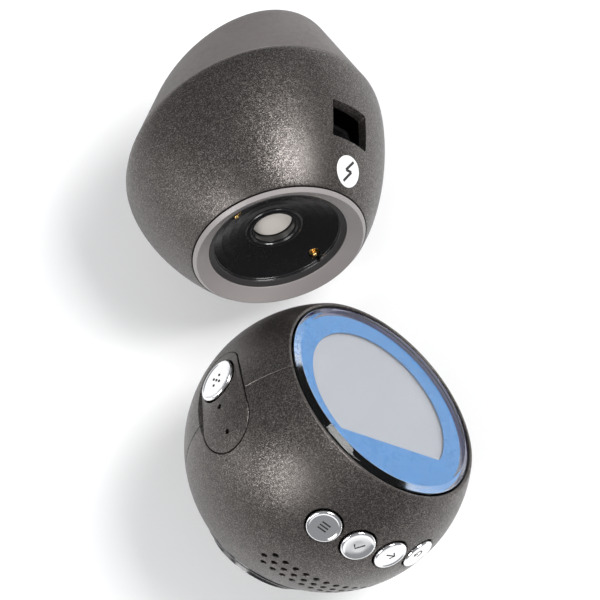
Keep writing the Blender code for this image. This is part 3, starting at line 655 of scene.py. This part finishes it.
clear = new_material("clear_acrylic", Base_Color=(0.97, 0.98, 1.0), Roughness=0.02, IOR=1.35,
                     Transmission_Weight=1.0)
tree = clear.node_tree
passing = node(clear, "ShaderNodeBsdfTransparent", 0, -300)
rays = node(clear, "ShaderNodeLightPath", 0, 500)
choice = node(clear, "ShaderNodeMixShader", 300, 100)
link(clear, rays.outputs["Is Shadow Ray"], choice.inputs["Fac"])
link(clear, tree.nodes["Principled BSDF"].outputs["BSDF"], choice.inputs[1])
link(clear, passing.outputs["BSDF"], choice.inputs[2])
link(clear, choice.outputs["Shader"], tree.nodes["Material Output"].inputs["Surface"])

lens_profile = eased([(0.02, lens_low), (LENS_R, lens_low), (LENS_R, lens_top - 1.25),
                      (LENS_R - 0.25, lens_top - 0.85), (BAND_R, lens_top), (0.02, lens_top)],
                     0.18, 4, loop=False)
lens = turned("window_disc", lens_profile, Matrix(), clear, meter, 144)
smooth(lens, 50)
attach(lens, "meter")
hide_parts("window_lens")


def screen_opening(count):
    """The opening's edge: a circle cut straight toward the keys."""
    corner = asin(SCREEN_EDGE / SCREEN_R)
    start, end = -corner, pi + corner
    curved = [(SCREEN_R * cos(start + (end - start) * i / count),
               SCREEN_R * sin(start + (end - start) * i / count)) for i in range(count + 1)]
    reach = SCREEN_R * cos(corner)
    straight = [(-reach + 2 * reach * i / 24, -SCREEN_EDGE) for i in range(1, 24)]
    return curved + straight


def printed_ring(name, inner, outer, top, thick, material):
    """A flat ring between two outlines with the same number of points."""
    rings = [[(x, y, z) for x, y in outline] for outline, z in
             ((inner, top - thick), (outer, top - thick), (outer, top), (inner, top))]
    points = [p for ring in rings for p in ring]
    return mesh_object(name, points, band_faces(4, len(inner), loop=True), Matrix(), material, meter)


opening = screen_opening(96)
angles = [atan2(y, x) for x, y in opening]
band_blue = new_material("band_print", Base_Color=BAND_BLUE, Specular_IOR_Level=0.1)
vary_roughness(band_blue, 0.25, 0.35)
border_navy = new_material("border_print", Base_Color=BORDER_NAVY, Coat_Weight=0.6)
vary_roughness(border_navy, 0.12, 0.2)
band_outer = [(BAND_R * cos(a), BAND_R * sin(a)) for a in angles]
border_outer = [((LENS_R - 0.1) * cos(a), (LENS_R - 0.1) * sin(a)) for a in angles]
band = printed_ring("window_blue_band", opening, band_outer, lens_low - 0.15, 0.3, band_blue)
border = printed_ring("window_dark_border", [(x * 1.003, y * 1.003) for x, y in band_outer],
                      border_outer, lens_low - 0.15, 0.3, border_navy)
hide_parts("display_mask")
for piece in (band, border):
    smooth(piece)
    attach(piece, "meter")

# ------------------------------------------------------------------------------------------
# Display: a round segment panel behind the window, switched off. It is pale grey and matt,
# its tone faintly mottled.
DISPLAY_GREY = (0.152, 0.156, 0.168)
DISPLAY_PALE = (0.172, 0.176, 0.188)
DISPLAY_R = 21.2
DISPLAY_T = 2.2
display_print = new_material("display_panel", Base_Color=DISPLAY_GREY, Coat_Weight=0.15)
shade = node(display_print, "ShaderNodeTexNoise", -900, 300, Scale=70.0, Detail=1.0)
tint = node(display_print, "ShaderNodeValToRGB", -600, 300)
tint.color_ramp.elements[0].position = 0.35
tint.color_ramp.elements[0].color = (*DISPLAY_GREY, 1.0)
tint.color_ramp.elements[1].position = 0.65
tint.color_ramp.elements[1].color = (*DISPLAY_PALE, 1.0)
link(display_print, shade.outputs["Fac"], tint.inputs["Fac"])
link(display_print, tint.outputs["Color"],
     display_print.node_tree.nodes["Principled BSDF"].inputs["Base Color"])
vary_roughness(display_print, 0.4, 0.5)
display_top = lens_low - 0.9
display = turned("display_panel", eased([(0.02, display_top - DISPLAY_T),
                                         (DISPLAY_R, display_top - DISPLAY_T),
                                         (DISPLAY_R, display_top), (0.02, display_top)], 0.2, loop=False),
                 Matrix(), display_print, meter, 96)
smooth(display)
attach(display, "meter")
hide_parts("display_module")

# ------------------------------------------------------------------------------------------
# Base cap: a glossy black disc moulded to the ball's curve, standing slightly proud of it.
# Two gold pads in it meet the dock's pins, and a steel plate sits behind it.
BASE_PROUD = 0.45
BASE_T = 5.8
PIN_CIRCLE_R = 13.0
GLOSS_BLACK = (0.010, 0.010, 0.011)
gloss_black = new_material("gloss_black", Base_Color=GLOSS_BLACK, Coat_Weight=0.5, Coat_Roughness=0.08)
vary_roughness(gloss_black, 0.16, 0.28, 90.0)
gold = new_material("gold_plate", Base_Color=(0.86, 0.56, 0.22), Metallic=1.0)
vary_roughness(gold, 0.14, 0.28, 500.0)

dome_r = BALL_R + BASE_PROUD
edge_angle = degrees(atan2(sqrt(dome_r**2 - BASE_R**2), BASE_R))
base_frame = on_ball(0.0, BASE_ELEVATION)
cap_profile = [(0.02, dome_r - BASE_T + 4.2), (12.0, dome_r - BASE_T + 4.2), (12.0, dome_r - BASE_T),
               (BASE_R, dome_r - BASE_T)] + arc(dome_r, edge_angle, 89.9, 24)
cap_profile = cap_profile[:4] + eased(cap_profile[3:6], 0.3, loop=False)[1:-1] + cap_profile[5:]
base_cap = turned("black_base_cap", cap_profile, base_frame, gloss_black, meter, 96)
pad_holes = []
for side in (-1, 1):
    place = base_frame @ Matrix.Translation((0, side * PIN_CIRCLE_R, 0))
    pad_holes.append(turned("pad_hole", [(0.95, 20), (0.95, 34)], place, steps=24))
cut_away(base_cap, [joined("pad_holes", pad_holes)])
smooth(base_cap, 40)
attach(base_cap, "meter")
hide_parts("base_cap")

# ------------------------------------------------------------------------------------------
# Dock shell: a hollow moulding in the same flake lacquer as the ball. Its widest edge leans
# toward the port, and the wall curves up from there to a level circle under the seat. A
# rectangular window through its wall lets the charging plug in.
EDGE_CENTRE = (0.26, -0.9, -5.4)
EDGE_LEAN = (9.12, 0.0)
EDGE_R = 31.22
EDGE_FLARE = (1.5, 45.0)
SHELL_TOP_Z = 22.6
SHELL_TOP_R = 20.25
SHELL_TOP_PULL = (14.1, 38.7)
DOCK_WALL = 2.2
SEAT_INNER_R = 15.9
SPIGOT_R = 18.0
PORT_Z = 7.6
PORT_WIDTH = 11.0
PORT_HEIGHT = 8.6
DOCK_STEPS = 160


def leaning(centre, lean):
    """A frame whose Z leans toward X and toward Y by the two angles."""
    z = Vector((tan(radians(lean[0])), tan(radians(lean[1])), 1)).normalized()
    return frame_of(Vector(centre), z, Vector((1, 0, 0)))


def shell_point(turn, share, inset=0.0):
    """A point of the dock shell's wall, from its wide edge (share 0) up to its top (share 1)."""
    edge = leaning(EDGE_CENTRE, EDGE_LEAN)
    up, level = Vector((0, 0, 1)), Vector((cos(turn), sin(turn), 0))
    outward = edge.to_3x3() @ level
    start = edge @ (level * EDGE_R)
    flare, pull = radians(EDGE_FLARE[1]), radians(SHELL_TOP_PULL[1])
    second = start + EDGE_FLARE[0] * (cos(flare) * edge.col[2].xyz + sin(flare) * outward)
    end = level * SHELL_TOP_R + up * SHELL_TOP_Z
    third = end - SHELL_TOP_PULL[0] * (cos(pull) * up - sin(pull) * level)
    left = 1 - share
    point = (left**3 * start + 3 * left**2 * share * second + 3 * left * share**2 * third
             + share**3 * end)
    return point - inset * (left * outward + share * level)


def shell_share(turn, z):
    """How far up the wall this height lies, found by halving."""
    low, high = 0.0, 1.0
    for _ in range(24):
        middle = (low + high) / 2
        low, high = (middle, high) if shell_point(turn, middle).z < z else (low, middle)
    return low


def turns(count):
    return [tau * i / count for i in range(count)]


def tube_of(name, rings, material, owner):
    """A closed tube through rings of points, the last ring joined to the first."""
    return mesh_object(name, [p for ring in rings for p in ring],
                       band_faces(len(rings), len(rings[0]), loop=True), Matrix(), material, owner)


def level_ring(radius, z):
    return [Vector((radius * cos(t), radius * sin(t), z)) for t in turns(DOCK_STEPS)]


def rounded_box(name, low, high, corner, taper=0.0, place=Matrix(), material=None, owner=None, steps=6):
    """A box with rounded corners as seen along X. `taper` opens its outer end on every side."""
    centre_y, centre_z = (low[1] + high[1]) / 2, (low[2] + high[2]) / 2
    half_y, half_z = (high[1] - low[1]) / 2, (high[2] - low[2]) / 2
    outline = []
    for k, (sy, sz) in enumerate(((1, 1), (-1, 1), (-1, -1), (1, -1))):
        for i in range(steps + 1):
            a = radians(90 * k + 90 * i / steps)
            outline.append((sy * (half_y - corner) + corner * cos(a),
                            sz * (half_z - corner) + corner * sin(a)))
    points = []
    for x, grow in ((low[0], 0.0), (high[0], taper)):
        for y, z in outline:
            points.append((x, centre_y + y * (1 + grow / half_y), centre_z + z * (1 + grow / half_z)))
    count = len(outline)
    faces = band_faces(2, count)
    faces.append(tuple(reversed(range(count))))
    faces.append(tuple(range(count, 2 * count)))
    return mesh_object(name, points, faces, place, material, owner)


lean_up = leaning(EDGE_CENTRE, EDGE_LEAN).col[2].xyz
edge_outer = [shell_point(t, 0.0) for t in turns(DOCK_STEPS)]
edge_inner = [shell_point(t, 0.0, DOCK_WALL) for t in turns(DOCK_STEPS)]
rings = [[p.lerp(q, 0.3 / DOCK_WALL) for p, q in zip(edge_outer, edge_inner)],
         [p.lerp(q, 0.1 / DOCK_WALL) + 0.05 * lean_up for p, q in zip(edge_outer, edge_inner)],
         [p + 0.22 * lean_up for p in edge_outer]]
for i in range(1, 48):
    rings.append([shell_point(t, i / 48) + max(0.0, 0.22 - i * 0.08) * lean_up
                  for t in turns(DOCK_STEPS)])
rings += [[shell_point(t, 0.997) for t in turns(DOCK_STEPS)],
          level_ring(SHELL_TOP_R - 0.12, SHELL_TOP_Z + 0.02),
          level_ring(SPIGOT_R + 0.3, SHELL_TOP_Z - 0.7), level_ring(SPIGOT_R + 0.3, SHELL_TOP_Z - 2.6)]
rings += [[shell_point(t, i / 8, DOCK_WALL) for t in turns(DOCK_STEPS)] for i in (6, 5, 4, 3, 2, 1, 0)]
dock_shell = tube_of("dock_body", rings, lacquer, dock)
half_w, half_h = PORT_WIDTH / 2, PORT_HEIGHT / 2
cut_away(dock_shell, [rounded_box("port_window", (15, -half_w, PORT_Z - half_h),
                                  (40, half_w, PORT_Z + half_h), 0.5)])
smooth(dock_shell, 30)
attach(dock_shell, "dock")
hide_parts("dock_shell")

# A white disc with a dark bolt, printed under the port, says that the dock charges.
MARK_Z = 18.2
MARK_R = 3.6
white_ink = new_material("white_ink", Base_Color=(0.78, 0.78, 0.77))
vary_roughness(white_ink, 0.4, 0.5, 300.0)


def on_dock(x, y, h):
    """Millimetres across and along the dock's wall from the middle of its printed mark."""
    turn = x / shell_point(0, shell_share(0, MARK_Z)).x
    slope = (shell_point(0, shell_share(0, MARK_Z + 1)) - shell_point(0, shell_share(0, MARK_Z - 1)))
    z = MARK_Z + y * slope.normalized().z
    share = shell_share(turn, z)
    across = shell_point(turn + 0.01, share) - shell_point(turn - 0.01, share)
    along = shell_point(turn, share + 0.01) - shell_point(turn, share - 0.01)
    return shell_point(turn, share) + across.cross(along).normalized() * h


disc_rings = [[on_dock(r * cos(t), r * sin(t), h) for t in turns(64)]
              for r, h in ((MARK_R, -0.02), (MARK_R, 0.012), (2.4, 0.02), (1.2, 0.02), (0.05, 0.02),
                           (0.05, -0.02), (1.2, -0.02), (2.4, -0.02))]
white_disc = tube_of("charge_mark_disc", disc_rings, white_ink, dock)
BOLT_STEPS = 8  # short stretches, so that the ink follows the curved wall
bolt_corners = [Vector(corner) for corner in ((1.1, 2.6), (-0.9, 0.0), (0.9, 0.0), (-1.1, -2.6))]
bolt = [[tuple(start.lerp(end, i / BOLT_STEPS)) for i in range(BOLT_STEPS + 1)]
        for start, end in zip(bolt_corners, bolt_corners[1:])]
dark_bolt = strokes("charge_mark_bolt", bolt, 0.6, 0.07, on_dock, ink, dock)
for piece, slot_name in ((white_disc, "seat_grey"), (dark_bolt, "black_plastic")):
    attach(piece, "dock")

# ------------------------------------------------------------------------------------------
# Seat ring: the light grey moulding that the ball rests on. Its face follows the ball.
SEAT_OUTER_R = 19.1
RING_BASE = SHELL_TOP_Z + 0.25
seat_grey = new_material("seat_plastic", Base_Color=(0.27, 0.248, 0.244), Coat_Weight=0.1)
vary_roughness(seat_grey, 0.34, 0.48, 120.0)
seat_centre = SEAT_Z + sqrt((BALL_R + 0.3) ** 2 - SEAT_OUTER_R**2)


def seat_z(radius, sink=0.0):
    return seat_centre - sqrt((BALL_R + 0.3 + sink) ** 2 - radius**2)


seat_face = [(SEAT_OUTER_R + (SEAT_INNER_R - SEAT_OUTER_R) * i / 8,) for i in range(9)]
seat_face = [(r, seat_z(r)) for (r,) in seat_face]
seat_profile = [(SPIGOT_R, SHELL_TOP_Z - 0.4), (SHELL_TOP_R - 0.3, RING_BASE)] + seat_face
seat_profile += [(SEAT_INNER_R, SHELL_TOP_Z - 3.7), (SPIGOT_R, SHELL_TOP_Z - 3.7)]
seat_ring = turned("seat_moulding", eased(seat_profile, 0.14, 3), Matrix(), seat_grey, dock, 160,
                   loop=True)
smooth(seat_ring)
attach(seat_ring, "dock")
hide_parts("seat_ring")

# ------------------------------------------------------------------------------------------
# Cup insert: glossy black dish under the seat. A dark grey band runs round its mouth, a
# raised flange frames the magnet, and two keyhole pockets leave room for the pins.
MAGNET_R = 4.6
CUP_SINK = 0.8
BARREL_R = 1.2
CUP_RIM_R = 14.5
cup_r = SEAT_INNER_R - 0.12
cup_low = seat_z(MAGNET_R, CUP_SINK) - 3.0
cup_profile = [(MAGNET_R + 0.15, cup_low), (cup_r, cup_low), (cup_r, seat_z(cup_r, 0.25)),
               (CUP_RIM_R + 0.1, seat_z(CUP_RIM_R, 0.25)), (CUP_RIM_R, seat_z(CUP_RIM_R, CUP_SINK))]
cup_profile += [(r, seat_z(r, CUP_SINK)) for r in (12.5, 10.5, 8.6, 7.0)]
cup_profile += [(6.6, seat_z(6.6, CUP_SINK)), (6.45, seat_z(6.6, CUP_SINK) + 0.3),
                (5.5, seat_z(6.6, CUP_SINK) + 0.3), (5.3, seat_z(6.6, CUP_SINK) - 0.1),
                (MAGNET_R + 0.15, seat_z(6.6, CUP_SINK) - 0.1)]
cup = turned("black_cup", eased(cup_profile, 0.14, 3), Matrix(), gloss_black, dock, 160, loop=True)
pockets = []
for side in (-1, 1):
    centre = Matrix.Translation((0, side * PIN_CIRCLE_R, 0))
    step_z = seat_z(PIN_CIRCLE_R, CUP_SINK) - 0.9
    pocket_profile = [(BARREL_R + 0.1, 5), (BARREL_R + 0.1, step_z), (1.45, step_z), (1.45, 40)]
    pockets.append(turned("pin_pocket", pocket_profile, centre, steps=32))
    slot_floor = seat_z(PIN_CIRCLE_R, CUP_SINK) - 0.5
    pockets.append(rounded_box(
        "pin_slot", (-1.0, side * PIN_CIRCLE_R - (1 - side) * 1.5, slot_floor),
        (1.0, side * PIN_CIRCLE_R + (1 + side) * 1.5, 40), 0.3))
cut_away(cup, pockets)
smooth(cup, 35)
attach(cup, "dock")
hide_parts("cup_insert")

cup_band = turned("cup_mouth_band", eased([
    (cup_r, seat_z(cup_r, 0.22)), (cup_r, seat_z(cup_r, 0.05)),
    (CUP_RIM_R + 0.15, seat_z(CUP_RIM_R, 0.05)),
    (CUP_RIM_R + 0.15, seat_z(CUP_RIM_R, 0.22))], 0.05, 2), Matrix(), None, dock, 160, loop=True)
band_grey = new_material("mouth_band_grey", Base_Color=(0.035, 0.033, 0.033))
vary_roughness(band_grey, 0.3, 0.4, 150.0)
cup_band.data.materials.append(band_grey)
smooth(cup_band)
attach(cup_band, "dock")

# ------------------------------------------------------------------------------------------
# Magnet: a nickel-plated disc with a ground face, sunk in the middle of the cup.
nickel = new_material("nickel_plate", Base_Color=(0.9, 0.84, 0.77), Metallic=0.15)
vary_roughness(nickel, 0.34, 0.5, 350.0)
MAGNET_SINK = 1.1
MAGNET_T = 3.0
magnet_top = seat_z(0, CUP_SINK) - MAGNET_SINK
magnet = turned("magnet_disc", eased([(0.02, magnet_top - MAGNET_T), (MAGNET_R, magnet_top - MAGNET_T),
                                      (MAGNET_R, magnet_top), (0.02, magnet_top)], 0.3, loop=False),
                Matrix(), nickel, dock, 96)
smooth(magnet)
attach(magnet, "dock")
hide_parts("dock_magnet")

# ------------------------------------------------------------------------------------------
# Sprung pins: gold-plated plungers with round noses, each in its own gold barrel.
PIN_R = 0.55
PIN_LENGTH = 6.0
BARREL_BORE_R = 0.68
BARREL_LENGTH = 6.7
for number, side in ((1, -1), (2, 1)):
    centre = Matrix.Translation((0, side * PIN_CIRCLE_R, 0))
    tip = seat_z(PIN_CIRCLE_R) - 0.1
    nose = [(0.02, tip - PIN_LENGTH), (PIN_R, tip - PIN_LENGTH)] + arc(PIN_R, 0, 88, 8, tip - PIN_R)
    plunger = turned(f"pin_plunger_{number}", nose, centre, gold, dock, 32)
    smooth(plunger, 50)
    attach(plunger, f"pogo_{number}")
    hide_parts(f"pogo_plunger_{number}")
    barrel_top = seat_z(PIN_CIRCLE_R, CUP_SINK) - 0.4
    barrel = turned(f"pin_barrel_{number}", eased([
        (BARREL_BORE_R, barrel_top), (BARREL_BORE_R, barrel_top - BARREL_LENGTH),
        (BARREL_R, barrel_top - BARREL_LENGTH), (BARREL_R, barrel_top)], 0.12, 3),
        centre, gold, dock, 48, loop=True)
    smooth(barrel)
    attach(barrel, "dock")
    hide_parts(f"pogo_barrel_{number}")

# ------------------------------------------------------------------------------------------
# Charging port: a black plastic tub behind the window, and in it the folded steel mouth of a
# small socket with its contact tongue.
PLUG_WIDTH, PLUG_HEIGHT, PLUG_LENGTH = 7.8, 3.2, 6.5
PORT_DEPTH = 5.2
wall_r = shell_point(0, shell_share(0, PORT_Z + half_h + 1)).x - DOCK_WALL - 0.3
port_x = sqrt(wall_r**2 - (half_w + 1) ** 2)
mouth_x = port_x - PORT_DEPTH + 2.6
plug_y, plug_z = PLUG_WIDTH / 2, PLUG_HEIGHT / 2
port_tub = rounded_box("port_tub", (port_x - PORT_DEPTH, -half_w - 1, PORT_Z - half_h - 1),
                       (port_x, half_w + 1, PORT_Z + half_h + 1), 0.6, 0.0, Matrix(), gloss_black, dock)
cut_away(port_tub, [
    rounded_box("pocket", (port_x - PORT_DEPTH + 1.6, -half_w + 0.4, PORT_Z - half_h + 0.4),
                (40, half_w - 0.4, PORT_Z + half_h - 0.4), 0.6),
    rounded_box("way_in", (5, -plug_y - 0.15, PORT_Z - plug_z - 0.15),
                (40, plug_y + 0.15, PORT_Z + plug_z + 0.15), 0.9),
])
socket = rounded_box("socket_mouth", (mouth_x - PLUG_LENGTH, -plug_y, PORT_Z - plug_z),
                     (mouth_x, plug_y, PORT_Z + plug_z), 0.9, 0.0, Matrix(), None, dock)
cut_away(socket, [rounded_box("socket_bore", (mouth_x - PLUG_LENGTH + 0.6, -plug_y + 0.3,
                                              PORT_Z - plug_z + 0.3),
                              (mouth_x + 2, plug_y - 0.3, PORT_Z + plug_z - 0.3), 0.65)])
steel = new_material("folded_steel", Base_Color=(0.56, 0.56, 0.57), Metallic=1.0)
vary_roughness(steel, 0.2, 0.38, 300.0)
socket.data.materials.append(steel)
tongue = rounded_box("socket_tongue", (mouth_x - PLUG_LENGTH + 0.9, -plug_y + 1.2, PORT_Z - 0.35),
                     (mouth_x - 0.8, plug_y - 1.2, PORT_Z + 0.35), 0.15, 0.0, Matrix(), gloss_black, dock)
for piece, cad, slot_name in ((port_tub, "port_frame", "black_plastic"),
                              (socket, "usb_receptacle", "steel"), (tongue, "usb_tongue", "black_plastic")):
    smooth(piece)
    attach(piece, "dock")
    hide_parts(cad)
contacts = []
for i in range(5):
    y = (i - 2) * 0.95
    contacts.append(rounded_box("contact", (mouth_x - PLUG_LENGTH + 1.5, y - 0.2, PORT_Z - 0.41),
                                (mouth_x - 1.2, y + 0.2, PORT_Z - 0.3), 0.04, steps=2))
tongue_contacts = joined("socket_contacts", contacts)
tongue_contacts.matrix_world = dock
tongue_contacts.data.materials.append(gold)
smooth(tongue_contacts)
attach(tongue_contacts, "dock")

# ------------------------------------------------------------------------------------------
# Foot: a smooth matt moulding that tapers from the shell's wide edge to a smaller sole with a
# well-rounded corner, closed by a plate and a ribbed rubber pad.
FOOT_CENTRE = (2.58, -0.12, -25.38)
FOOT_LEAN = (15.83, -10.39)
FOOT_R = 23.4
FOOT_ROUNDING = 4.4
FOOT_LIP = 1.0
matt_foot = new_material("matt_foot", Base_Color=(0.125, 0.112, 0.108), Specular_IOR_Level=0.35)
vary_roughness(matt_foot, 0.52, 0.66, 80.0)
grain = node(matt_foot, "ShaderNodeTexNoise", -900, -500, Scale=2600.0, Detail=2.0)
place = node(matt_foot, "ShaderNodeTexCoord", -1100, -500)
bump = node(matt_foot, "ShaderNodeBump", -300, -500, Strength=0.12, Distance=0.00005)
link(matt_foot, place.outputs["Object"], grain.inputs["Vector"])
link(matt_foot, grain.outputs["Fac"], bump.inputs["Height"])
link(matt_foot, bump.outputs["Normal"], matt_foot.node_tree.nodes["Principled BSDF"].inputs["Normal"])

edge_frame, foot_frame = leaning(EDGE_CENTRE, EDGE_LEAN), leaning(FOOT_CENTRE, FOOT_LEAN)


def ring_in(place, radius, z=0.0):
    return [place @ p for p in level_ring(radius, z)]


corner = ring_in(foot_frame, FOOT_R)
sole = ring_in(foot_frame, FOOT_R - FOOT_ROUNDING)
under_edge = ring_in(edge_frame, EDGE_R, -0.14)
start = [c + (p - c).normalized() * FOOT_ROUNDING for p, c in zip(under_edge, corner)]
rings = [ring_in(edge_frame, EDGE_R - 0.35, -0.14), ring_in(edge_frame, EDGE_R - 0.12, -0.19)]
shares = [0.012] + [i / 8 for i in range(1, 8)]
rings += [[p.lerp(q, share) for p, q in zip(under_edge, start)] for share in shares]
for i in range(17):
    t = i / 16
    rings.append([(1 - t) ** 2 * a + 2 * t * (1 - t) * b + t * t * c
                  for a, b, c in zip(start, corner, sole)])
inner_r = FOOT_R - FOOT_ROUNDING - FOOT_LIP
rings += [ring_in(foot_frame, inner_r), ring_in(edge_frame, EDGE_R - DOCK_WALL, -0.14)]
foot = tube_of("tapered_foot", rings, matt_foot, dock)
smooth(foot, 35)
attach(foot, "dock")
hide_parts("dock_foot")

pad_r = inner_r - 0.15
pad_profile = [(0.02, 0.4), (pad_r, 0.4), (pad_r, -0.6), (pad_r - 1.6, -0.6)]
for i in range(5):
    inner_edge = pad_r - 1.6 - i * 2.4
    pad_profile += [(inner_edge, -0.3), (inner_edge - 0.8, -0.3), (inner_edge - 0.8, -0.6),
                    (inner_edge - 2.4, -0.6)]
pad_profile.append((0.02, -0.6))
rubber = new_material("foot_rubber", Base_Color=(0.022, 0.022, 0.022), Specular_IOR_Level=0.3)
vary_roughness(rubber, 0.7, 0.9, 100.0)
foot_pad = turned("ribbed_pad", eased(pad_profile, 0.12, 3, loop=False), foot_frame, rubber, dock, 96)
smooth(foot_pad)
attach(foot_pad, "dock")
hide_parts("foot_pad")

# ------------------------------------------------------------------------------------------
# Inner pieces keep their plain solids: boards, cell, speaker, switches, weight and screws.
# They get their own finishes, since some show through the grille, the ports and the window.
laminate = new_material("board_laminate", Base_Color=(0.015, 0.12, 0.05), Coat_Weight=0.2)
vary_roughness(laminate, 0.35, 0.5, 400.0)
wrap = new_material("cell_wrap", Base_Color=(0.04, 0.10, 0.26))
vary_roughness(wrap, 0.3, 0.45, 200.0)
paper = new_material("cone_paper", Base_Color=(0.02, 0.02, 0.02))
vary_roughness(paper, 0.7, 0.85, 600.0)
light_pipe = new_material("light_pipe", Base_Color=(0.05, 0.05, 0.055), Coat_Weight=0.5)
vary_roughness(light_pipe, 0.08, 0.15)
inner_finishes = {
    "circuit_board": laminate, "cell_wrap": wrap, "speaker_cone": paper, "steel": steel,
    "gold_plate": gold, "black_plastic": gloss_black, "clear_acrylic": light_pipe,
}
slot_of = {part["node"]: part["material_slot"] for part in frame["record"]["subparts"]}
for name, cad in frame["nodes"].items():
    finish = inner_finishes.get(slot_of[name])
    if finish is not None:
        cad.data.materials.clear()
        cad.data.materials.append(finish)
